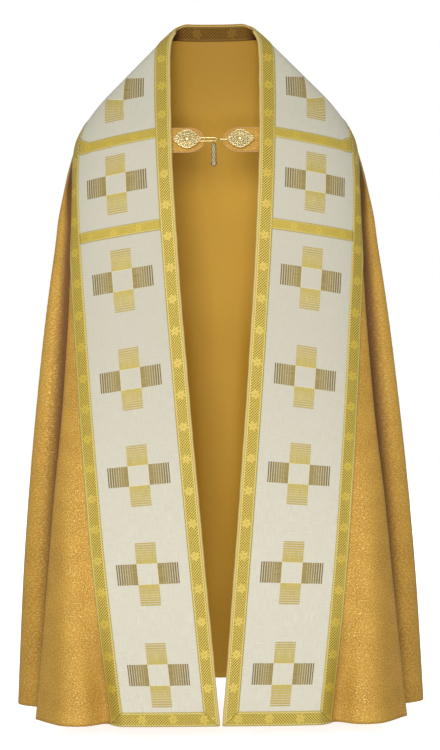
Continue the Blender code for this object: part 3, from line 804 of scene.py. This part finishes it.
def build_band(brocade, galloon):
    """The orphrey and every braid on it."""
    shown, trim = BAND_WIDTH - EDGE_SHOWN, 0.001
    orphrey = grid_piece(
        "orphrey_brocade", BAND_COLUMNS, 46,
        lambda u, v: band_points(BAND_LENGTH * (2 * u - 1), EDGE_SHOWN + trim + (shown - 2 * trim) * v,
                                 BAND.out),
        lambda u, v: (BAND_LENGTH * (2 * u - 1), EDGE_SHOWN + shown * v), brocade, BAND.wall)
    declare("orphrey_band")
    # The braids across the band: the galloon with painted sheen, yellower over the lattice.
    bright = galloon_weave("galloon weave with painted sheen", sheen=0.30)
    for edge, near, mitre in (("inner", EDGE_SHOWN, lambda share: share),
                              ("outer", BAND_WIDTH - TAPE_WIDTH, lambda share: 1 - share)):
        braid = tape("galloon_edge_" + edge, galloon, TAPE_COLUMNS,
                     lambda share: TAPE_WIDTH * mitre(share) - BAND_LENGTH,
                     lambda share: BAND_LENGTH - TAPE_WIDTH * mitre(share), TAPE_WIDTH,
                     lambda length, share: (length, near + TAPE_WIDTH * share))
        declare("galloon_" + edge)
    for side_name, side in (("left", -1), ("right", 1)):
        for tape_name, drop in zip(("upper", "lower"), CROSS_TAPE_DROPS):
            near, far = EDGE_SHOWN + TAPE_WIDTH - trim, BAND_WIDTH - TAPE_WIDTH + trim
            braid = tape(f"galloon_across_{tape_name}_{side_name}", bright, 44,
                         lambda share: near + 0 * share, lambda share: far + 0 * share, CROSS_TAPE_WIDTH,
                         lambda length, share: (
                             side * (NECK_HALF + drop + CROSS_TAPE_WIDTH * (1 - share)), length))
            declare(f"galloon_cross_{tape_name}_{side_name}")
        braid = tape(f"galloon_foot_{side_name}", galloon, 56,
                     lambda share: EDGE_SHOWN + TAPE_WIDTH * share,
                     lambda share: BAND_WIDTH - TAPE_WIDTH * share,
                     TAPE_WIDTH, lambda length, share: (side * (BAND_LENGTH - TAPE_WIDTH * share), length))
        declare("galloon_hem_" + side_name)
    # The braid inside the back of the neck: the galloon with painted shade, darker and browner.
    neck = grid_piece("galloon_neck", 60, 10,
                      lambda u, v: band_points(NECK_HALF * (2 * u - 1), EDGE_SHOWN + TAPE_WIDTH * v,
                                               NECK_TAPE.out),
                      lambda u, v: (NECK_HALF * (2 * u - 1) / TAPE_WIDTH, v),
                      galloon_weave("neck galloon with painted shade", 0.70), NECK_TAPE.wall)
    declare("neck_tape")


def build_cloak():
    gold, satin, brocade, galloon = gold_cloth(), lining_satin(), orphrey_brocade(), galloon_weave()
    build_lining(satin)
    build_outer_cloth(gold)
    build_edge_fold(braid_cord("pale gold turned edge", (0.78, 0.62, 0.25), (0.56, 0.40, 0.11), 0.0024))
    build_band(brocade, galloon)


# ---- the clasp

CLASP_PLANE = (Matrix.Translation((CLASP_X, CLASP_Y, NECK_TOP - CLASP_DROP))
               @ Matrix.Rotation(-CLASP_TILT, 4, "X"))
TAB_MIDDLE = 0.052
TAB_RIM_RADIUS = 0.0015


def clasp_points(x, height, depth):
    """Points by the clasp's plane: height runs up it, and depth out of it from the front of the tabs."""
    flat = np.stack(np.broadcast_arrays(x, -np.asarray(depth, float), height), axis=-1)
    return flat @ np.array(CLASP_PLANE.to_3x3()).T + np.array(CLASP_PLANE.translation)


def patched(name, patches, finish, node, body="cope"):
    """One object of several grids, each (columns, rows, place(u, v), map(u, v))."""
    shape = bmesh.new()
    flat = shape.loops.layers.uv.new("cut")
    for columns, rows, place, unrolled in patches:
        corners = bmesh.ops.create_grid(shape, x_segments=columns, y_segments=rows, size=0.5)["verts"]
        u, v = (np.array([corner.co[i] for corner in corners]) + 0.5 for i in (0, 1))
        spots = np.stack(np.broadcast_arrays(*unrolled(u, v)), axis=-1)
        for corner, point, spot in zip(corners, place(u, v), spots):
            corner.co = point
            for loop in corner.link_loops:
                loop[flat].uv = spot
    data = bpy.data.meshes.new(name)
    shape.to_mesh(data)
    shape.free()
    piece = cloth_piece(name, data, finish, 0.0, body)
    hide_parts(node)
    return piece


def swept(path, radius, around, height=1.0, map_length=False):
    """A patch for patched(): a round wire along these points. The map gives its height, or its length."""
    path = np.asarray(path, float)
    ahead = np.gradient(path, axis=0)
    ahead /= np.maximum(np.linalg.norm(ahead, axis=1, keepdims=True), 1e-12)
    radius = np.broadcast_to(radius, len(path))
    side = np.cross(ahead[0], (0.31, 0.87, 0.38))
    sides = []
    for way in ahead:
        side = side - way * side.dot(way)
        side /= np.linalg.norm(side)
        sides.append(side)
    sides = np.array(sides)
    uppers = np.cross(ahead, sides)
    lengths = np.concatenate([[0], np.cumsum(np.linalg.norm(np.diff(path, axis=0), axis=1))])

    def place(u, v):
        i, turn = np.rint(u * (len(path) - 1)).astype(int), (2 * math.pi * v)[:, None]
        return path[i] + radius[i][:, None] * (np.cos(turn) * sides[i] + np.sin(turn) * uppers[i])

    def unrolled(u, v):
        i = np.rint(u * (len(path) - 1)).astype(int)
        return (lengths[i], v * 0.008) if map_length else (u, height + 0 * v)

    return len(path) - 1, around, place, unrolled


def bead(x, height, depth, radius, across=8):
    """A patch for patched(): a small ball on the clasp."""
    def place(u, v):
        turn, rise = 2 * math.pi * u, math.pi * (v - 0.5)
        width = radius * np.cos(rise)
        return clasp_points(x + width * np.cos(turn), height + width * np.sin(turn),
                            depth + radius * np.sin(rise))

    return across, max(5, across // 2 + 1), place, lambda u, v: (u, 1 + 0 * v)


def tab_edge(way):
    """The outline of a tab, as (x, height), from its sewn end along one edge, round its tip and back."""
    straight = TAB_OUTER_X - TAB_INNER_X - TAB_ROUND
    bend = 1.55 * (TAB_ROUND + TAB_HEIGHT / 2)  # about the length of the half oval at the tip
    length = way * (2 * straight + bend)
    turn = np.clip((length - straight) / bend, 0, 1) * math.pi
    x = np.where(length < straight, TAB_OUTER_X - length,
                 np.where(length > straight + bend, TAB_OUTER_X - (2 * straight + bend - length),
                          TAB_INNER_X + TAB_ROUND * (1 - np.sin(turn))))
    return x, TAB_HEIGHT / 2 * np.cos(turn)


def build_tab(side_name, side, cloth, cord):
    """A stitched cloth tab with an overcast rim."""
    def place(u, v):
        x, height = tab_edge(u)
        share = 0.98 * v
        crown = 0.0006 * (1 - share**6) - 0.0005 * np.exp(-((share - 0.83) / 0.022) ** 2)
        middle = np.maximum(x, TAB_INNER_X + TAB_ROUND)
        return clasp_points(side * (middle + (x - middle) * share), height * share, crown - 0.0006)

    pad = grid_piece("tab_cloth_" + side_name, 160, 24, place,
                     lambda u, v: ((tab_edge(u)[0] - TAB_MIDDLE) * v + TAB_MIDDLE, tab_edge(u)[1] * v), cloth)
    if sum(face.normal.y for face in pad.data.polygons) > 0:
        pad.data.flip_normals()
    thickness = pad.modifiers.new("thickness", "SOLIDIFY")
    thickness.thickness = TAB_WALL
    thickness.offset = -1.0
    declare("tab_" + side_name)
    steps, inset = 520, 0.96
    x, height = tab_edge(np.linspace(0, 1, steps))
    rim_x = TAB_MIDDLE + (x - TAB_MIDDLE) * np.where(x < TAB_MIDDLE, inset, 1)
    beat = 1 + 0.10 * np.sin(np.arange(steps) * 1.15)
    cord_path = swept(clasp_points(side * rim_x, height * inset, -0.0010), TAB_RIM_RADIUS * beat, 10,
                      map_length=True)
    patched("tab_rim_" + side_name, [cord_path], cord, "tab_" + side_name)


def rosette_spot(side, turn, share):
    """A point of a rosette's face, from its middle (share 0) to its scalloped edge (1)."""
    scallop = 1 + 0.035 * share**4 * np.cos(2 * ROSETTE_LOBES * turn)
    power = 1 + (ROSETTE_POINT - 1) * share
    x, height = (half * np.copysign(np.abs(wave) ** power, wave) * scallop * share
                 for half, wave in zip(ROSETTE_HALF, (np.cos(turn), np.sin(turn))))
    return side * (ROSETTE_X + x), height


RosetteWire = namedtuple("RosetteWire", "share radius depth grain")
ROSETTE_WIRES = (
    RosetteWire(0.975, 0.00085, 0.0016, 1.9),
    RosetteWire(0.60, 0.00055, 0.0026, 2.3),
    RosetteWire(0.33, 0.0006, 0.0031, 2.6),
)
ROSETTE_GRAINS = 22
FINE_WIRE = 0.00050


def build_rosette(side_name, side, brass):
    """A filigree lozenge: a low plate with a twisted rim, loops, scrolls and grains round a fluted dome."""
    back = 2 * GAP + POST_HEIGHT

    def plate_height(turn, share):
        web = 0.5 + 0.5 * np.cos(ROSETTE_LOBES * 2 * turn + share * 9) * np.sin(share * 20)
        return 0.0010 + 0.0009 * (1 - share**2) + 0.0003 * web * share

    def plate(u, v):
        turn, share = 2 * math.pi * u, 0.002 + 0.998 * v
        height = np.where(v > 0.995, 0, plate_height(turn, share))
        return clasp_points(*rosette_spot(side, turn, share), back + height)

    # The plate's map height sets its painted shade: darker in the web's grooves.
    def plate_map(u, v):
        web = 0.5 + 0.5 * np.cos(ROSETTE_LOBES * 4 * math.pi * u + v * 9) * np.sin(v * 20)
        return u, 0.20 + 0.58 * web

    patches = [(144, 30, plate, plate_map)]
    steps = 289
    turn = np.linspace(0, 2 * math.pi, steps)
    for share, radius, depth, grain in ROSETTE_WIRES:
        path = clasp_points(*rosette_spot(side, turn, share), back + depth)
        patches.append(swept(path, radius * (1 + 0.2 * np.sin(np.arange(steps) * grain)), 7, 0.95))
    for i in range(2 * ROSETTE_LOBES):
        way = 2 * math.pi * (i + 0.5) / (2 * ROSETTE_LOBES)
        ring = np.linspace(0, 2 * math.pi, 19)
        spot = rosette_spot(side, way + 0.13 * np.sin(ring), 0.79 + 0.135 * np.cos(ring))
        patches.append(swept(clasp_points(*spot, back + 0.0022), FINE_WIRE, 5, 0.9))
        patches.append(bead(*rosette_spot(side, way, 0.79), back + 0.0021, 0.0007))
    for i in range(ROSETTE_LOBES):
        way = 2 * math.pi * (i + 0.25) / ROSETTE_LOBES
        curl = np.linspace(0, 3.4 * math.pi, 34)
        size = 1 - curl / (4.2 * math.pi)
        spot = rosette_spot(side, way + 0.26 * size * np.sin(curl), 0.465 + 0.095 * size * np.cos(curl))
        patches.append(swept(clasp_points(*spot, back + 0.0029), FINE_WIRE, 5, 0.9))
    for i in range(ROSETTE_GRAINS):
        way = 2 * math.pi * i / ROSETTE_GRAINS
        patches.append(bead(side * (ROSETTE_X + 0.0066 * math.cos(way)), 0.0056 * math.sin(way),
                            back + 0.0032, 0.00065))

    def dome(u, v):
        turn, rise = 2 * math.pi * u, math.pi / 2 * v
        flute = 1 + 0.05 * np.cos(10 * turn) * np.cos(rise)
        return clasp_points(side * (ROSETTE_X + 0.0054 * flute * np.cos(turn) * np.cos(rise)),
                            0.0045 * flute * np.sin(turn) * np.cos(rise), back + 0.0024 + 0.0030 * np.sin(rise))

    # The dome's map height sets its painted shade: darker towards its foot.
    patches.append((60, 12, dome, lambda u, v: (u, 0.45 + 0.55 * v)))
    patches.append(bead(side * ROSETTE_X, 0.0, back + 0.0054, 0.0010, across=12))
    patched("rosette_filigree_" + side_name, patches, brass, "rosette_" + side_name)


def circle(x, height, radius, start, end, steps):
    turn = np.linspace(start, end, steps)
    return np.stack([x + radius * np.cos(turn), height + radius * np.sin(turn)], axis=1)


def build_wires(brass):
    """The posts, the long ring and the hook."""
    depth = GAP + POST_HEIGHT / 2
    for side_name, side in (("left", -1), ("right", 1)):
        levels = np.array([0, 0, 0.0003, POST_HEIGHT - 0.0003, POST_HEIGHT, POST_HEIGHT])
        spread = np.array([0, 0.9, 1, 1, 0.9, 0]) * POST_RADIUS
        path = clasp_points(side * POST_X, 0.0, GAP + levels + np.arange(6) * 1e-7)
        patched("post_shaft_" + side_name, [swept(path, spread, 24)], brass, "post_" + side_name)
    straight_end = RING_END_X - RING_RADIUS
    ring = np.concatenate([circle(-POST_X, 0, RING_RADIUS, math.pi / 2, math.pi * 3 / 2, 33),
                           circle(straight_end, 0, RING_RADIUS, -math.pi / 2, math.pi / 2, 33)])
    ring = np.concatenate([ring, ring[:1]])
    patched("ring_wire", [swept(clasp_points(*ring.T, depth), WIRE_RADIUS, 12)], brass, "ring")
    eye = circle(POST_X, 0, RING_RADIUS, math.radians(205), math.radians(490), 50)
    turn = np.radians(np.linspace(20, 250, 32))[::-1]
    path = [*clasp_points(RING_END_X + HOOK_RADIUS * np.cos(turn), 0.0, depth + HOOK_RADIUS * np.sin(turn)),
            *clasp_points(np.linspace(RING_END_X + 0.009, POST_X - 0.009, 12), 0.0, depth),
            *clasp_points(*eye.T, depth)]
    patched("hook_wire", [swept(path, WIRE_RADIUS, 12)], brass, "hook")


PENDANT_LENGTH = 0.050
PENDANT_FLUTES = 6
PENDANT_TWIST = 620  # radians a metre
Turned = namedtuple("Turned", "down radius")
PENDANT_PROFILE = (
    Turned(0.0, 0.0004), Turned(0.001, 0.0026), Turned(0.004, 0.0052), Turned(0.008, 0.0046),
    Turned(0.013, 0.0055), Turned(0.020, 0.0049), Turned(0.026, 0.0057), Turned(0.031, 0.0049),
    Turned(0.038, 0.0061), Turned(0.044, 0.0058), Turned(0.0485, 0.0034), Turned(PENDANT_LENGTH, 0.0004),
)


def build_pendant(brass):
    """A loop round the ring's lower bar, and below it a turned and twisted drop, pressed flat."""
    hangs = clasp_points(PENDANT_X, -RING_RADIUS, GAP + POST_HEIGHT / 2)
    hang = PENDANT_LOOP_RADIUS - PENDANT_WIRE_RADIUS - WIRE_RADIUS - GAP
    loop = circle(0, -hang, PENDANT_LOOP_RADIUS, 0, 2 * math.pi, 49)
    path = hangs + np.stack([np.zeros(49), loop[:, 0], loop[:, 1]], axis=1)
    top = -hang - PENDANT_LOOP_RADIUS + PENDANT_WIRE_RADIUS / 2

    def flute(u, v):
        return np.sin(PENDANT_FLUTES * 2 * math.pi * u + PENDANT_LENGTH * v * PENDANT_TWIST)

    def place(u, v):
        turn, down = 2 * math.pi * u, PENDANT_LENGTH * v
        fade = np.clip(down * (PENDANT_LENGTH - down) * 8000, 0, 1)
        radius = through_rows(PENDANT_PROFILE, down)[:, 1] * (1 + 0.08 * flute(u, v) * fade)
        return hangs + np.stack([radius * np.cos(turn), radius * PENDANT_FLATTEN * np.sin(turn), top - down],
                                axis=1)

    # The drop's map height sets its painted shade: darker down its flutes.
    patches = [swept(path, PENDANT_WIRE_RADIUS, 10),
               (72, 130, place, lambda u, v: (u, 0.66 + 0.22 * flute(u, v)))]
    patched("pendant_drop", patches, brass, "pendant", "pendant")


def build_clasp():
    cloth = gold_cloth("tab gold cloth", fold_shaded=False)
    cord = braid_cord("overcast tab rim", (0.70, 0.44, 0.18), (0.42, 0.22, 0.07), 0.0020)
    brass, tarnished = antique_brass(bright=1.05), antique_brass("tarnished brass", 0.40, 0.46)
    gilt = antique_brass("gilt wire", 1.0, 0.30)
    for side_name, side in (("left", -1), ("right", 1)):
        build_tab(side_name, side, cloth, cord)
        build_rosette(side_name, side, brass)
    build_wires(gilt)
    build_pendant(tarnished)


# ---- camera, light and floor


def build_stage():
    floor = bpy.data.meshes.new("studio_floor")
    shape = bmesh.new()
    bmesh.ops.create_grid(shape, x_segments=8, y_segments=8, size=7)
    bmesh.ops.translate(shape, verts=shape.verts, vec=(0, 0, NECK_TOP - HEM_DROP - 0.035))
    shape.to_mesh(floor)
    shape.free()
    paper = Finish("white studio paper", roughness=0.9, specular_ior_level=0.1, emission_color=(1, 1, 1, 1),
                   emission_strength=0.80)
    speck = paper.noise(paper.node("ShaderNodeTexCoord", output="Object"), 3.0)
    paper.feed(base_color=paper.mix(speck, (0.90, 0.90, 0.90), (0.93, 0.93, 0.93)))
    floor.materials.append(paper.material)
    stage = bpy.data.objects.new("studio_floor", floor)
    bpy.context.scene.collection.objects.link(stage)
    stage.visible_diffuse = stage.visible_glossy = False


def area_light(name, place, aim, size, power, colour=(1, 1, 1)):
    lamp = bpy.data.lights.new(name, "AREA")
    lamp.shape = "RECTANGLE"
    lamp.size, lamp.size_y = size
    lamp.energy = power
    lamp.color = colour
    light = bpy.data.objects.new(name, lamp)
    light.location = place
    light.rotation_euler = (Vector(aim) - Vector(place)).to_track_quat("-Z", "Y").to_euler()
    bpy.context.scene.collection.objects.link(light)


def build_lights():
    world = bpy.data.worlds.new("studio")
    world.use_nodes = True
    tree = world.node_tree
    background = tree.nodes["Background"]
    background.inputs["Color"].default_value = (1, 1, 1, 1)
    seen = tree.nodes.new("ShaderNodeMath")
    seen.operation = "MAXIMUM"
    seen.inputs[1].default_value = 0.46
    tree.links.new(tree.nodes.new("ShaderNodeLightPath").outputs["Is Camera Ray"], seen.inputs[0])
    tree.links.new(seen.outputs[0], background.inputs["Strength"])
    bpy.context.scene.world = world
    area_light("front", (-0.25, -4.1, 0.0), (0, 0, -0.7), (1.3, 1.5), 84)
    area_light("behind", (0.7, 4.2, 0.4), (0, 0, -0.7), (1.4, 1.8), 60)
    area_light("upper", (-1.1, -2.8, 1.7), (0, 0, -0.5), (0.9, 0.9), 18)
    area_light("low", (0.1, -3.9, -1.2), (0, 0, -0.9), (1.2, 0.4), 22)


def build_camera():
    camera = bpy.data.cameras.new("camera")
    camera.sensor_fit = "VERTICAL"
    camera.sensor_height = 36
    camera.lens = 76.464
    camera.shift_x, camera.shift_y = 0.0033, -0.0347
    eye = bpy.data.objects.new("camera", camera)
    eye.location = (0, -3.4, -0.637)
    eye.rotation_euler = (math.radians(90), math.radians(0.57), 0)
    bpy.context.scene.collection.objects.link(eye)
    bpy.context.scene.camera = eye
    bpy.context.scene.view_settings.view_transform = "Standard"


build_cloak()
build_clasp()
build_stage()
build_lights()
build_camera()
